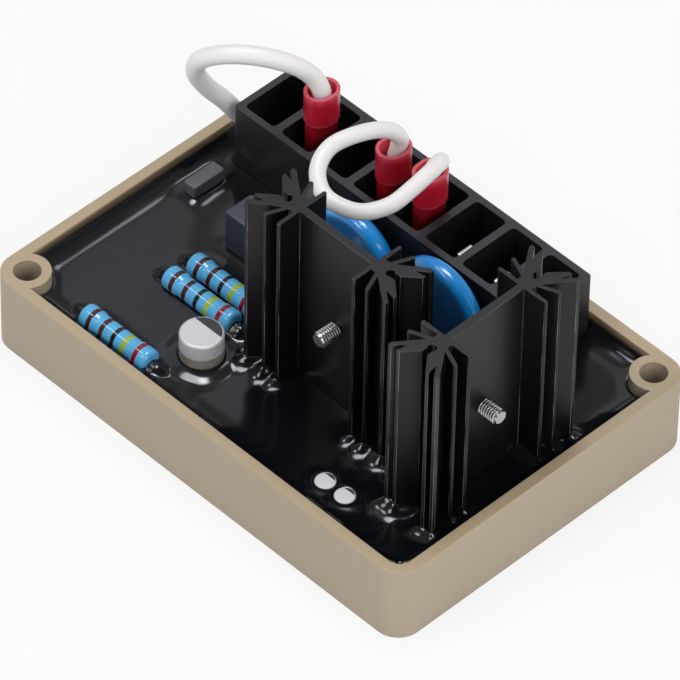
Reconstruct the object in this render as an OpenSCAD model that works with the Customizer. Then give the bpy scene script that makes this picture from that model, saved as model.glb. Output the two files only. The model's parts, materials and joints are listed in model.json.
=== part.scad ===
// Automatic voltage regulator: an electronic module cast in resin in an open plastic tray.
// The origin is the centre of the flat base. X runs along the long side, Z points up.
// All lengths are in millimetres.

/* [Tray] */
// Length of the tray along X
tray_l = 135; // [130:1:150]
// Width of the tray along Y
tray_w = 94; // [92:1:106]
// Height of the tray walls
tray_h = 21.5; // [20:0.5:24]
// Thickness of the tray walls
wall = 2.9; // [2.2:0.1:3.4]
// Thickness of the tray floor
floor_t = 2.5; // [2:0.1:3]
// Diameter of the two mounting holes
hole_d = 6.6; // [5:0.1:7.4]
// Outside diameter of the two mounting bosses
boss_d = 11.4; // [10.4:0.1:12.4]
// Distance from a mounting hole to both outer faces, and the radius of the corners
hole_inset = 6.3; // [5.8:0.1:7]

/* [Resin and circuit board] */
// Depth of the resin surface below the rim
resin_drop = 4; // [3:0.5:5]
// Height of the space between the tray floor and the circuit board
board_rise = 6.5; // [6:0.1:7]
// Thickness of the circuit board
board_t = 1.6; // [1:0.1:2.4]
// Gap between the circuit board and the tray walls
board_gap = 1; // [0.5:0.1:2]

/* [Terminal block] */
// Length of one chamber along X
chamber_l = 9.8; // [9.3:0.1:10.2]
// Width of one chamber along Y
chamber_w = 17.2; // [15:0.1:18]
// Thickness of the ribs between chambers
rib_t = 2.1; // [1.5:0.1:2.6]
// Thickness of the outer walls of the block
block_wall = 1.8; // [1.4:0.1:2.6]
// Height of the block above the circuit board
block_h = 24.9; // [22:0.1:27]
// Height of the chamber floors above the circuit board
chamber_floor = 8; // [6:0.1:9]
// Gap between the block and the tray wall behind it
block_back_gap = 1.7; // [0.5:0.1:3]
// Gap between the block's end and the left tray wall
block_end_gap = 7.1; // [6:0.1:9]

/* [Terminals and push-on connectors] */
// Width of a terminal tab
tab_w = 4.8; // [4:0.1:5]
// Thickness of a terminal tab
tab_t = 0.8; // [0.5:0.1:1]
// Height of a tab above its chamber floor
tab_rise = 10.4; // [9.5:0.1:11]
// Wall of the metal receptacle round a tab
receptacle_wall = 0.6; // [0.4:0.1:0.7]
// Depth of a tab inside its receptacle
receptacle_grip = 7.5; // [6:0.1:8.5]
// Wall of the red sleeve
sleeve_wall = 0.85; // [0.6:0.05:1]
// Size of the sleeve's wire funnel across the tab
funnel_t = 7.5; // [7:0.1:8.2]
// Size of the sleeve's wire funnel along the tab
funnel_w = 9; // [8.6:0.1:9.8]
// Height of the wire funnel
funnel_h = 8.6; // [7.6:0.1:10]

/* [Jumper wires] */
// Diameter of the wire that ends in the resin
wire_1_d = 4.6; // [3:0.1:5]
// Diameter of the wire that joins two terminals
wire_2_d = 4; // [3:0.1:5]

/* [Heat sinks] */
// Length of the profile along its plate
sink_l = 45; // [43:0.5:48]
// Width of the profile across its fins
sink_w = 15.2; // [14:0.1:17]
// Height of a heat sink above the circuit board
sink_h = 58.4; // [50:0.1:70]
// Thickness of the plate
plate_t = 2; // [1.6:0.1:2.6]
// Thickness of the thin fins
fin_t = 1; // [0.8:0.1:1.2]
// Length of a fin tree, from its forked tips to its inmost fin
tree_l = 11; // [10:0.1:12]
// Diameter of the keyhole between the forked arms
keyhole_d = 2.2; // [1.6:0.1:2.4]
// Gap between the right heat sink and the right tray wall
sink_right_gap = 3.9; // [2:0.1:5]
// Gap between the right heat sink and the front tray wall
sink_front_gap = 14; // [11:0.1:16]
// Gap between the two heat sinks
sink_between = 9.2; // [7:0.1:11]
// How much further back the left heat sink starts than the right one
sink_setback = 8.2; // [6:0.1:10]

/* [Power devices and screws] */
// Width of a power device
device_w = 15.2; // [13:0.1:17]
// Height of a power device
device_h = 20; // [18:0.1:21]
// Thickness of a power device
device_t = 4.6; // [4:0.1:5]
// Thickness of the device's metal back
device_back_t = 1.6; // [1.2:0.1:2]
// Height of the fixing screw above the circuit board
screw_rise = 28.9; // [26:0.1:32]
// Diameter of the fixing screw
screw_d = 4; // [3:0.1:4]
// Length of screw that sticks out of the plate
screw_out = 5.2; // [3:0.1:8]

/* [Varistors] */
// Diameter of a varistor disc
disc_d = 25; // [20:0.5:26]
// Thickness of a varistor disc
disc_t = 5; // [4:0.1:5.6]
// Gap between the discs and the terminal block
disc_gap = 2.3; // [1.5:0.1:3]

/* [Capacitors] */
// Diameter of the large can
can_d = 10.6; // [9:0.1:11]
// Height of the large can above the circuit board
can_h = 14.4; // [12:0.1:18]
// Diameter of the small cans
small_can_d = 5; // [4:0.1:6]
// Height of the small cans above the circuit board
small_can_h = 7.7; // [7.2:0.1:9]
// Length of the small box capacitor along Y
small_box_l = 9.8; // [8:0.1:11]
// Thickness of the small box capacitor along X
small_box_t = 3.8; // [3:0.1:5]
// Height of the small box capacitor above the circuit board
small_box_h = 10.7; // [9:0.1:13]
// Length of the large box capacitor along X
large_box_l = 18; // [15:0.1:20]
// Thickness of the large box capacitor along Y
large_box_t = 8.6; // [7:0.1:10]
// Height of the large box capacitor above the circuit board
large_box_h = 18.4; // [15:0.1:21]

/* [Resistors] */
// Length of a resistor body
resistor_l = 22; // [19:0.1:23]
// Diameter of a resistor at its end caps
resistor_d = 6; // [5:0.1:6.4]
// Height of the resistor axes above the circuit board
resistor_rise = 8.5; // [7.5:0.1:9.5]
// Diameter of the resistor leads
lead_d = 0.8; // [0.6:0.1:1]

/* [Trimmers] */
// Diameter of a trimmer housing
trimmer_d = 10; // [9.6:0.1:12]
// Diameter of the slotted face that shows in the base
rotor_d = 5; // [4:0.1:5.4]
// Depth of the slotted face inside the base
rotor_recess = 0.6; // [0.4:0.1:1]

/* [Clearances] */
// Radial and end clearance of a trimmer rotor
rotor_gap = 0.3; // [0.2:0.05:0.4]
// Clearance round a terminal tab
tab_gap = 0.1; // [0.05:0.05:0.2]
// Radial clearance of a screw in its holes
screw_gap = 0.15; // [0.1:0.05:0.25]
// Clearance between a receptacle and its sleeve
receptacle_gap = 0.15; // [0.1:0.05:0.2]

/* [Hidden] */
$fn = 48;

// Inner faces of the tray walls, and the levels of the board and the resin
right_in = tray_l / 2 - wall;
back_in = tray_w / 2 - wall;
left_in = -right_in;
front_in = -back_in;
board_bottom = floor_t + board_rise;
board_top = board_bottom + board_t;
resin_top = tray_h - resin_drop;
hole_at = [tray_l / 2 - hole_inset, tray_w / 2 - hole_inset];

// Terminal block: its ends, its middle line and the chambers that hold something
chambers = 8;
block_corner = 0.9;
chamber_corner = 1.2;
chamber_pitch = chamber_l + rib_t;
block_l = chambers * chamber_l + (chambers - 1) * rib_t + 2 * block_wall;
block_w = chamber_w + 2 * block_wall;
block_left = left_in + block_end_gap;
block_y = back_in - block_back_gap - block_w / 2;
block_front = block_y - block_w / 2;
block_top = board_top + block_h;
chamber_bottom = board_top + chamber_floor;
tab_chambers = [2, 4, 5, 6, 7, 8];
sleeve_chambers = [2, 4, 5];
tab_top = chamber_bottom + tab_rise;
tab_tip = 0.3;
function chamber_x(n) = block_left + block_wall + chamber_l / 2 + (n - 1) * chamber_pitch;

// Push-on connectors: a receptacle on the tab, a crimp barrel above it and the sleeve round both
sleeve_rise = [11.5, 9.8, 10.6];
tab_space = [tab_t + 2 * tab_gap, tab_w + 2 * tab_gap];
receptacle_size = tab_space + 2 * receptacle_wall * [1, 1];
receptacle_bottom = tab_top - receptacle_grip;
receptacle_top = tab_top + tab_gap + receptacle_wall;
barrel_d = 3.2;
sleeve_space = receptacle_size + 2 * receptacle_gap * [1, 1];
sleeve_size = sleeve_space + 2 * sleeve_wall * [1, 1];
sleeve_skirt = 0.6;
sleeve_corner = 1.4;
function sleeve_top(i) = block_top + sleeve_rise[i];
function funnel_floor(i) = sleeve_top(i) - funnel_h + sleeve_wall;
function mouth(i) = [chamber_x(sleeve_chambers[i]), block_y, sleeve_top(i)];

// Heat sinks: their middles, and the points of one fin tree along and across the plate
sink_2_at = [right_in - sink_right_gap - sink_w / 2, front_in + sink_front_gap + sink_l / 2];
sink_1_at = [
    sink_2_at[0] - sink_w / 2 - sink_between - sink_l / 2,
    front_in + sink_front_gap + sink_setback + sink_w / 2
];
sink_at = [sink_1_at, sink_2_at];
sink_1_left = sink_1_at[0] - sink_l / 2;
tree_end = sink_l / 2;
tree_side = sink_w / 2;
slant_back = 6;
hub_back = 9;
hub_d = 4.6;
keyhole_back = 6.1;
lip_back = 4.2;
lip_overlap = 0.3;
arm_back = 7.6;
arm_up = 2.6;
arm_inner = 4.1;
fork_back = 3;
fork_up = 4.4;
prong_t = 0.9;
straight_fin_u = tree_end - tree_l + fin_t / 2;
slant_fin_u = tree_end - slant_back;
hub_u = tree_end - hub_back;
keyhole_u = tree_end - keyhole_back;
slot_w = keyhole_d * 0.72;

// Power devices and their screws
device_hole_down = 4.4;
device_top = screw_rise + device_hole_down;
device_lead_pitch = 5.45;
device_lead = [1.2, 0.6];
screw_hole_d = screw_d + 2 * screw_gap;
head_d = 7.6;
head_h = 2.8;
recess_w = 1;
recess_l = 4;
tip_chamfer = 0.5;

// Varistors along the block, with the height of each disc above the board
disc_1_along = 45.8;
disc_1_rise = 12.7;
disc_2_along = 73.6;
disc_2_rise = 16.6;
disc_at = [[disc_1_along, disc_1_rise], [disc_2_along, disc_2_rise]];
disc_y = block_front - disc_gap - disc_t / 2;
disc_lead_pitch = 7.5;

// Capacitors and resistors: along X from a wall, a heat sink or the block, along Y by a share of the inside
function share_y(share) = front_in + share * 2 * back_in;
can_to_sink = 7.9;
can_at = [sink_1_left - can_to_sink, share_y(0.187)];
small_can_to_wall = 32.9;
small_can_at = [right_in - small_can_to_wall, share_y(0.102)];
small_can_pitch = 6.3;
can_edge = 0.6;
can_groove = 0.5;
can_groove_up = 2.6;
box_corner = 0.6;
small_box_to_wall = 8.5;
small_box_at = [left_in + small_box_to_wall, share_y(0.622)];
large_box_along = 28;
large_box_at = [block_left + large_box_along, share_y(0.5545)];
resistor_1_to_wall = 31.6;
resistor_2_to_sink = 19.7;
resistor_3_to_sink = 18.9;
resistor_1_drop = 0.6;
resistor_at = [
    [left_in + resistor_1_to_wall, share_y(0.0655)],
    [sink_1_left - resistor_2_to_sink, share_y(0.314)],
    [sink_1_left - resistor_3_to_sink, share_y(0.3945)]
];
resistor_drop = [resistor_1_drop, 0, 0];
resistor_waist = 0.3;
resistor_cap_l = 4;
resistor_edge = 0.9;
lead_out = 2;

// Control chip on the board
chip_to_wall = 20;
chip_at = [left_in + chip_to_wall, share_y(0.227)];
chip_size = [9.6, 6.4, 3.4];
chip_stand = 0.5;
chip_leg_pitch = 2.54;
chip_leg = [0.6, 0.8];

// Trimmers under the board: the flange that holds the rotor in, and its pivot
trimmer_to_wall = 24.6;
trimmer_to_back = 24;
trimmer_pitch = 20;
trimmer_at = [for (i = [0, 1]) [left_in + trimmer_to_wall + i * trimmer_pitch, back_in - trimmer_to_back]];
flange_d = rotor_d + 2;
flange_h = 1.8;
pivot_d = 2;
pivot_l = 1.4;
slot_t = 0.9;
slot_depth = 1.1;

// Routes of the jumper wires, each point chosen by hand along the wire
wire_steps = 3;
wire_sides = 12;
wire_1_end = [block_left - block_end_gap / 2 - 0.1, block_y - 2];
wire_1_route = concat(
    [[mouth(0)[0], mouth(0)[1], funnel_floor(0)]],
    [for (p = [[0, 0, -5], [-0.1, 0, -0.8], [-2, -1, 3.2], [-4.5, -5, 7.9], [-9.8, -11, 10.9],
               [-16, -16, 10.5], [-22, -18, 5.9], [-25, -16.6, -0.9], [-25, -13.2, -7.7]]) mouth(0) + p],
    [[wire_1_end[0] - 0.9, wire_1_end[1] - 7, resin_top + 15.8],
     [wire_1_end[0] - 0.4, wire_1_end[1] - 3.8, resin_top + 10.4]],
    [for (up = [6.5, 3.5, 0.8]) [wire_1_end[0], wire_1_end[1] - (up > 6 ? 1.2 : 0), resin_top + up]],
    [[wire_1_end[0], wire_1_end[1], (resin_top + board_top) / 2], [wire_1_end[0], wire_1_end[1], board_top]]
);
wire_2_route = concat(
    [[mouth(1)[0], mouth(1)[1], funnel_floor(1)]],
    [for (p = [[0.1, 0.2, -4], [0.5, 0.9, -0.4], [1, 0.8, 3.2], [0.4, -3, 7.6], [-0.8, -10.4, 10.6],
               [-2, -18.6, 11], [0.2, -24.8, 9.6], [5.4, -28.4, 8.4], [10.6, -28, 7.4], [15.2, -24.8, 6.6],
               [17.8, -18.8, 6.6], [17.7, -12.2, 7]]) mouth(1) + p],
    [for (p = [[5.3, -6, 6.8], [3.6, -0.5, 5.5], [1.5, 1, 2.9], [0.2, 0.7, 0], [0, 0.1, -4.2]]) mouth(2) + p],
    [[mouth(2)[0], mouth(2)[1], funnel_floor(2)]]
);

// A flat rectangle with round corners, centred
module rounded(l, w, r) {
    square([l, w - 2 * r], center = true);
    square([l - 2 * r, w], center = true);
    for (x = [-1, 1], y = [-1, 1])
        translate([x * (l / 2 - r), y * (w / 2 - r)]) circle(r);
}

// A flat oval with straight sides, centred, longer along Y
module oval(t, w) {
    square([t, w - t], center = true);
    for (y = [-1, 1])
        translate([0, y * (w - t) / 2]) circle(d = t);
}

// A flat bar of thickness t from a to b, with a rounded tip at b
module bar(a, b, t) {
    along = b - a;
    l = norm(along);
    translate(a)
        rotate(atan2(along[1], along[0]))
            polygon([
                [0, -t / 2], [l - t / 3, -t / 2], [l - t / 10, -t / 3], [l, -t / 8],
                [l, t / 8], [l - t / 10, t / 3], [l - t / 3, t / 2], [0, t / 2]
            ]);
}

// The two places of the mounting bosses, on one diagonal
module at_bosses() {
    for (side = [-1, 1])
        translate(side * hole_at) children();
}

// Plan of the space inside the tray walls, less the bosses and a gap
module tray_inside(gap = 0) {
    difference() {
        rounded(2 * (right_in - gap), 2 * (back_in - gap), max(hole_inset - wall - gap, 0.5));
        at_bosses() circle(d = boss_d + 2 * gap);
    }
}

module tray() {
    color("#b7a78e")
    difference() {
        linear_extrude(tray_h) rounded(tray_l, tray_w, hole_inset);
        translate([0, 0, floor_t]) linear_extrude(tray_h) tray_inside();
        at_bosses() translate([0, 0, -1]) cylinder(d = hole_d, h = tray_h + 2);
        for (at = trimmer_at)
            translate([at[0], at[1], -1]) cylinder(d = rotor_d + 2 * rotor_gap, h = floor_t + 2);
    }
}

// The resin takes the space that the parts leave below its surface
module potting() {
    color("#141416")
    difference() {
        translate([0, 0, floor_t]) linear_extrude(resin_top - floor_t) tray_inside();
        circuit_board();
        control_chip();
        block_outside();
        for (i = [0, 1]) {
            translate([trimmer_at[i][0], trimmer_at[i][1], floor_t]) cylinder(d = trimmer_d, h = board_rise);
            heat_sink(i);
            power_device_frame(i);
            varistor(i);
            electrolytic_small(i);
        }
        for (i = [0:2]) resistor(i);
        film_capacitor_small();
        film_capacitor_large();
        electrolytic_large();
        translate([wire_1_end[0], wire_1_end[1], board_top]) cylinder(d = wire_1_d, h = resin_top);
    }
}

module circuit_board() {
    color("#2f5a3a")
    translate([0, 0, board_bottom]) linear_extrude(board_t) tray_inside(board_gap);
}

module control_chip() {
    legs = 4;
    color("#26262a")
    translate([chip_at[0], chip_at[1], board_top]) {
        translate([-chip_size[0] / 2, -chip_size[1] / 2, chip_stand]) cube(chip_size);
        for (k = [0:legs - 1], side = [-1, 1])
            translate([(k - (legs - 1) / 2) * chip_leg_pitch, side * (chip_size[1] + chip_leg[1]) / 2, 0])
                translate([-chip_leg[0] / 2, -chip_leg[1] / 2, 0])
                    cube([chip_leg[0], chip_leg[1], chip_stand + chip_size[2] / 2]);
    }
}

// Plan and outside of the terminal block
module block_outside() {
    translate([block_left + block_l / 2, block_y, board_top])
        linear_extrude(block_h) rounded(block_l, block_w, block_corner);
}

module terminal_block() {
    color("#2a2b30")
    difference() {
        block_outside();
        for (n = [1:chambers])
            translate([chamber_x(n), block_y, chamber_bottom])
                linear_extrude(block_h) rounded(chamber_l, chamber_w, chamber_corner);
        for (n = tab_chambers)
            translate([chamber_x(n), block_y, board_top + block_h / 2])
                cube([tab_space[0], tab_space[1], block_h + 1], center = true);
    }
}

// A flat blade with a chamfered tip, from the board up into chamber n
module terminal_tab(n) {
    tab_h = tab_top - board_top;
    color("#cfd1d3")
    translate([chamber_x(n) + tab_t / 2, block_y, board_top])
        rotate([90, 0, -90])
            linear_extrude(tab_t)
                polygon([
                    [-tab_w / 2, 0], [tab_w / 2, 0],
                    [tab_w / 2, tab_h - tab_tip], [tab_w / 2 - tab_tip, tab_h],
                    [tab_tip - tab_w / 2, tab_h], [-tab_w / 2, tab_h - tab_tip]
                ]);
}

// The metal box that grips a tab, with its crimp barrel up to the end of the wire
module receptacle(i) {
    color("#c9b27a")
    translate([mouth(i)[0], block_y, 0])
        difference() {
            union() {
                translate([0, 0, receptacle_bottom])
                    linear_extrude(receptacle_top - receptacle_bottom)
                        square(receptacle_size, center = true);
                translate([0, 0, receptacle_top - receptacle_wall])
                    cylinder(d = barrel_d, h = funnel_floor(i) - receptacle_top + receptacle_wall);
            }
            translate([0, 0, receptacle_bottom - 1])
                linear_extrude(tab_top + tab_gap - receptacle_bottom + 1) square(tab_space, center = true);
        }
}

// The red sleeve: a flat housing round the receptacle and a wider funnel for the wire
module crimp_sleeve(i) {
    step = sleeve_top(i) - funnel_h;
    bottom = receptacle_bottom - sleeve_skirt;
    color("#b3172f")
    translate([mouth(i)[0], block_y, 0])
        difference() {
            union() {
                translate([0, 0, bottom])
                    linear_extrude(step - bottom + sleeve_wall)
                        rounded(sleeve_size[0], sleeve_size[1], sleeve_corner);
                translate([0, 0, step]) linear_extrude(funnel_h) oval(funnel_t, funnel_w);
            }
            translate([0, 0, bottom - 1])
                linear_extrude(receptacle_top + receptacle_gap - bottom + 1)
                    square(sleeve_space, center = true);
            cylinder(d = barrel_d + 2 * receptacle_gap, h = sleeve_top(i));
            translate([0, 0, funnel_floor(i)])
                linear_extrude(funnel_h) oval(funnel_t - 2 * sleeve_wall, funnel_w - 2 * sleeve_wall);
        }
}

// A round tube swept along a smooth line through hand-placed points
function unit(v) = v / norm(v);
function between(a, b, c, d, t) =
    0.5 * (2 * b + (c - a) * t + (2 * a - 5 * b + 4 * c - d) * t * t + (3 * b - a - 3 * c + d) * t * t * t);
function smooth(p) = let (last = len(p) - 1) concat(
    [for (i = [0:last - 1], k = [0:wire_steps - 1])
        between(p[max(i - 1, 0)], p[i], p[i + 1], p[min(i + 2, last)], k / wire_steps)],
    [p[last]]
);
function directions(p) = [for (i = [0:len(p) - 1]) unit(p[min(i + 1, len(p) - 1)] - p[max(i - 1, 0)])];
function carried(n, t) = unit(n - (n * t) * t);
function normals(t, n = [1, 0, 0], i = 0) =
    i == len(t) ? [] : let (m = carried(n, t[i])) concat([m], normals(t, m, i + 1));

module wire(route, d) {
    line = smooth(route);
    t = directions(line);
    n = normals(t);
    rings = len(line);
    points = [for (i = [0:rings - 1], k = [0:wire_sides - 1])
        let (a = 360 * k / wire_sides)
            line[i] + d / 2 * (cos(a) * n[i] + sin(a) * cross(t[i], n[i]))];
    walls = [for (i = [0:rings - 2], k = [0:wire_sides - 1])
        let (a = i * wire_sides, b = (k + 1) % wire_sides)
            [a + k, a + wire_sides + k, a + wire_sides + b, a + b]];
    start = [for (k = [0:wire_sides - 1]) k];
    end = [for (k = [wire_sides - 1:-1:0]) (rings - 1) * wire_sides + k];
    polyhedron(points, concat(walls, [start, end]));
}

module jumper_wire_1() {
    color("#f2f0ee") wire(wire_1_route, wire_1_d);
}

module jumper_wire_2() {
    color("#f2f0ee") wire(wire_2_route, wire_2_d);
}

// Heat sink i, and what is fixed to it, stand on the board: the second one is turned by a right angle
module on_sink(i) {
    translate([sink_at[i][0], sink_at[i][1], board_top]) rotate(90 * i) children();
}

// One half of a fin tree: a straight fin, a slanting fin and a thick arm with a forked tip
module half_tree() {
    bar([straight_fin_u, 0], [straight_fin_u, tree_side], fin_t);
    bar([hub_u, 0], [slant_fin_u, tree_side], fin_t);
    polygon([
        [hub_u, 0], [tree_end - lip_back, slot_w / 2 - lip_overlap],
        [tree_end, arm_inner], [tree_end, arm_inner + prong_t], [tree_end - fork_back, fork_up],
        [tree_end, tree_side - prong_t], [tree_end, tree_side], [tree_end - prong_t, tree_side],
        [tree_end - arm_back, arm_up]
    ]);
}

module fin_tree() {
    difference() {
        union() {
            translate([hub_u, 0]) circle(d = hub_d);
            half_tree();
            mirror([0, 1]) half_tree();
        }
        translate([keyhole_u, 0]) circle(d = keyhole_d);
        translate([keyhole_u, -slot_w / 2]) square([tree_end - keyhole_u, slot_w]);
    }
}

module sink_profile() {
    square([2 * hub_u, plate_t], center = true);
    fin_tree();
    mirror([1, 0]) fin_tree();
}

module heat_sink(i) {
    color("#3a3a3e")
    on_sink(i)
        difference() {
            linear_extrude(sink_h) sink_profile();
            translate([0, 0, screw_rise]) rotate([90, 0, 0])
                cylinder(d = screw_hole_d, h = 2 * plate_t, center = true);
        }
}

// Plan of a power device on the back of the plate, between two distances from the plate
module device_slab(from, to) {
    difference() {
        translate([-device_w / 2, plate_t / 2 + from, device_top - device_h])
            cube([device_w, to - from, device_h]);
        translate([0, plate_t / 2, screw_rise]) rotate([90, 0, 0])
            cylinder(d = screw_hole_d, h = 4 * device_t, center = true);
    }
}

module power_device_body(i) {
    color("#1d1d20") on_sink(i) device_slab(device_back_t, device_t);
}

module power_device_frame(i) {
    color("#c4c6c8")
    on_sink(i) {
        device_slab(0, device_back_t);
        for (k = [-1:1])
            translate([k * device_lead_pitch - device_lead[0] / 2, 0, 0])
                translate([0, plate_t / 2 + device_back_t - device_lead[1], 0])
                    cube([device_lead[0], device_lead[1], device_top - device_h]);
    }
}

// Pan-head screw: its head presses on the device, its end sticks out of the plate's front
module heat_sink_screw(i) {
    shank = device_t + plate_t + screw_out;
    color("#d5d6d8")
    on_sink(i)
        translate([0, plate_t / 2 + device_t, screw_rise])
            rotate([90, 0, 0])
                difference() {
                    union() {
                        cylinder(d = screw_d, h = shank - tip_chamfer);
                        translate([0, 0, shank - tip_chamfer])
                            cylinder(d1 = screw_d, d2 = screw_d - 2 * tip_chamfer, h = tip_chamfer);
                        translate([0, 0, -head_h / 2]) cylinder(d = head_d, h = head_h / 2);
                        translate([0, 0, -head_h])
                            cylinder(d1 = head_d - head_h, d2 = head_d, h = head_h / 2);
                    }
                    for (turn = [0, 90])
                        rotate(turn) translate([-recess_l / 2, -recess_w / 2, -head_h - 1])
                            cube([recess_l, recess_w, head_h]);
                }
}

// A round-edged disc that stands on two leads, facing along Y
module varistor(i) {
    middle = disc_at[i][1];
    color("#2f7fc4")
    translate([block_left + disc_at[i][0], disc_y, board_top]) {
        translate([0, 0, middle])
            rotate([90, 0, 0])
                rotate_extrude() {
                    translate([0, -disc_t / 2]) square([(disc_d - disc_t) / 2, disc_t]);
                    intersection() {
                        translate([(disc_d - disc_t) / 2, 0]) circle(d = disc_t);
                        translate([0, -disc_t]) square(disc_d);
                    }
                }
        for (side = [-1, 1])
            translate([side * disc_lead_pitch / 2, 0, 0]) cylinder(d = lead_d, h = middle);
    }
}

module film_capacitor_small() {
    color("#5b5d64")
    translate([small_box_at[0], small_box_at[1], board_top])
        linear_extrude(small_box_h) rounded(small_box_t, small_box_l, box_corner);
}

module film_capacitor_large() {
    color("#4b5663")
    translate([large_box_at[0], large_box_at[1], board_top])
        linear_extrude(large_box_h) rounded(large_box_l, large_box_t, box_corner);
}

// A banded power resistor along X: a waisted body, with leads bent down to the board
module resistor(i) {
    r = resistor_d / 2;
    half = resistor_l / 2;
    waist = r - resistor_waist;
    axis_z = resistor_rise - resistor_drop[i];
    elbow_x = half + lead_out;
    color("#79b9e0")
    translate([resistor_at[i][0], resistor_at[i][1], board_top]) {
        translate([0, 0, axis_z])
            rotate([0, 90, 0])
                rotate_extrude()
                    polygon([
                        [0, -half], [r - resistor_edge, -half],
                        [r - resistor_edge / 3, resistor_edge / 3 - half], [r, resistor_edge - half],
                        [r, resistor_cap_l - half], [waist, resistor_cap_l + 1 - half],
                        [waist, half - resistor_cap_l - 1], [r, half - resistor_cap_l],
                        [r, half - resistor_edge], [r - resistor_edge / 3, half - resistor_edge / 3],
                        [r - resistor_edge, half], [0, half]
                    ]);
        translate([0, 0, axis_z]) rotate([0, 90, 0]) cylinder(d = lead_d, h = 2 * elbow_x, center = true);
        for (side = [-1, 1])
            translate([side * elbow_x, 0, 0]) {
                cylinder(d = lead_d, h = axis_z);
                translate([0, 0, axis_z]) sphere(d = lead_d);
            }
    }
}

// An aluminium can with a rounded top edge and a rolled groove near its foot
module can(d, h) {
    r = d / 2;
    rotate_extrude()
        polygon(concat(
            [[0, 0], [r, 0], [r, can_groove_up - 2 * can_groove],
             [r - can_groove, can_groove_up - can_groove],
             [r - can_groove, can_groove_up], [r, can_groove_up + can_groove]],
            [for (a = [0:30:90]) [r - can_edge + can_edge * cos(a), h - can_edge + can_edge * sin(a)]],
            [[0, h]]
        ));
}

module electrolytic_large() {
    color("#d4d5d8") translate([can_at[0], can_at[1], board_top]) can(can_d, can_h);
}

module electrolytic_small(i) {
    color("#d4d5d8")
    translate([small_can_at[0] + i * small_can_pitch, small_can_at[1], board_top])
        can(small_can_d, small_can_h);
}

// The fixed part of a trimmer, between the tray floor and the board, open towards the base
module trimmer_housing(i) {
    pocket_h = flange_h + 2 * rotor_gap;
    color("#3c4654")
    translate([trimmer_at[i][0], trimmer_at[i][1], floor_t])
        difference() {
            cylinder(d = trimmer_d, h = board_rise);
            translate([0, 0, -1]) cylinder(d = flange_d + 2 * rotor_gap, h = pocket_h + 1);
            cylinder(d = pivot_d + 2 * rotor_gap, h = pocket_h + pivot_l);
        }
}

// The part that a screwdriver turns: a slotted face in the base, a flange above it and a pivot
module trimmer_rotor(i) {
    face_h = floor_t + rotor_gap - rotor_recess;
    color("#e4e2d8")
    translate([trimmer_at[i][0], trimmer_at[i][1], rotor_recess])
        difference() {
            union() {
                cylinder(d = rotor_d, h = face_h);
                translate([0, 0, face_h]) cylinder(d = flange_d, h = flange_h);
                translate([0, 0, face_h + flange_h]) cylinder(d = pivot_d, h = pivot_l);
            }
            translate([-rotor_d, -slot_t / 2, -1]) cube([2 * rotor_d, slot_t, slot_depth + 1]);
        }
}

tray();
potting();
circuit_board();
control_chip();
terminal_block();
jumper_wire_1();
jumper_wire_2();
film_capacitor_small();
film_capacitor_large();
electrolytic_large();
for (n = tab_chambers)
    terminal_tab(n);
for (i = [0:2]) {
    receptacle(i);
    crimp_sleeve(i);
    resistor(i);
}
for (i = [0:1]) {
    heat_sink(i);
    heat_sink_screw(i);
    power_device_body(i);
    power_device_frame(i);
    varistor(i);
    electrolytic_small(i);
    trimmer_housing(i);
    trimmer_rotor(i);
}
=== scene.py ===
"""Looks of an automatic voltage regulator: a potted tray with terminals, heat sinks and jumper wires."""

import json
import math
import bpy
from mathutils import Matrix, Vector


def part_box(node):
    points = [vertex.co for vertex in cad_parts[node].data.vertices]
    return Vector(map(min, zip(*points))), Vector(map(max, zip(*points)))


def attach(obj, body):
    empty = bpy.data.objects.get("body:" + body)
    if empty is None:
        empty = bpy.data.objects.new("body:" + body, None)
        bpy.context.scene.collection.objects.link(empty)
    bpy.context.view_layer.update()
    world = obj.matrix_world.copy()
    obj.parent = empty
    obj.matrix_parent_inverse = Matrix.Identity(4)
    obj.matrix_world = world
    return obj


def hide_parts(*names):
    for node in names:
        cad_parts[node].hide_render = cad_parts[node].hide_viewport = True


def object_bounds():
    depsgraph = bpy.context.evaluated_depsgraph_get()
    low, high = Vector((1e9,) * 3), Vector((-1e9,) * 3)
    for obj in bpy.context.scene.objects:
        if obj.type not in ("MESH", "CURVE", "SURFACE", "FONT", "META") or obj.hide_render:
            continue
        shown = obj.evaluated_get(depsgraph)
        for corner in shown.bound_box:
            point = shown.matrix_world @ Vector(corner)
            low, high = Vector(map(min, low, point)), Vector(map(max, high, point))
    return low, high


bl_info = {
    "name": "Automatic Voltage Regulator",
    "version": (1, 0, 0),
    "blender": (4, 5, 0),
    "location": "3D View > Sidebar > Regulator",
    "description": "Dresses the packed voltage regulator with rounded edges, resin, wires and finishes",
    "category": "Object",
}

import bmesh
import bpy
from bpy.props import FloatProperty, FloatVectorProperty, PointerProperty
from mathutils import Matrix, Vector, noise
from mathutils.bvhtree import BVHTree
from mathutils.kdtree import KDTree

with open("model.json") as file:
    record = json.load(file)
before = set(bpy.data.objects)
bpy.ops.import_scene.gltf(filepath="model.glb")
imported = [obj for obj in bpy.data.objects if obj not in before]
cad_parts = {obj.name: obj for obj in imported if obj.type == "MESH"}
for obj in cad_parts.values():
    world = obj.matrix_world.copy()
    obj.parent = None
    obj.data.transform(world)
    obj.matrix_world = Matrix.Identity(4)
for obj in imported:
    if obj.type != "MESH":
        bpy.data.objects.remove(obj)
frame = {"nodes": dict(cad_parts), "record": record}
CAD_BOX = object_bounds()
NODES = frame["nodes"]
BODY = "regulator"
MM = 0.001
# Edges sharper than this are rounded, and corners closer than this are merged
SHARP = math.radians(32)
MERGE = 0.004 * MM
# Width and height of the picture that the camera is fitted to
IMAGE_PIXELS = 680
QUARTER = math.radians(90)
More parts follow.
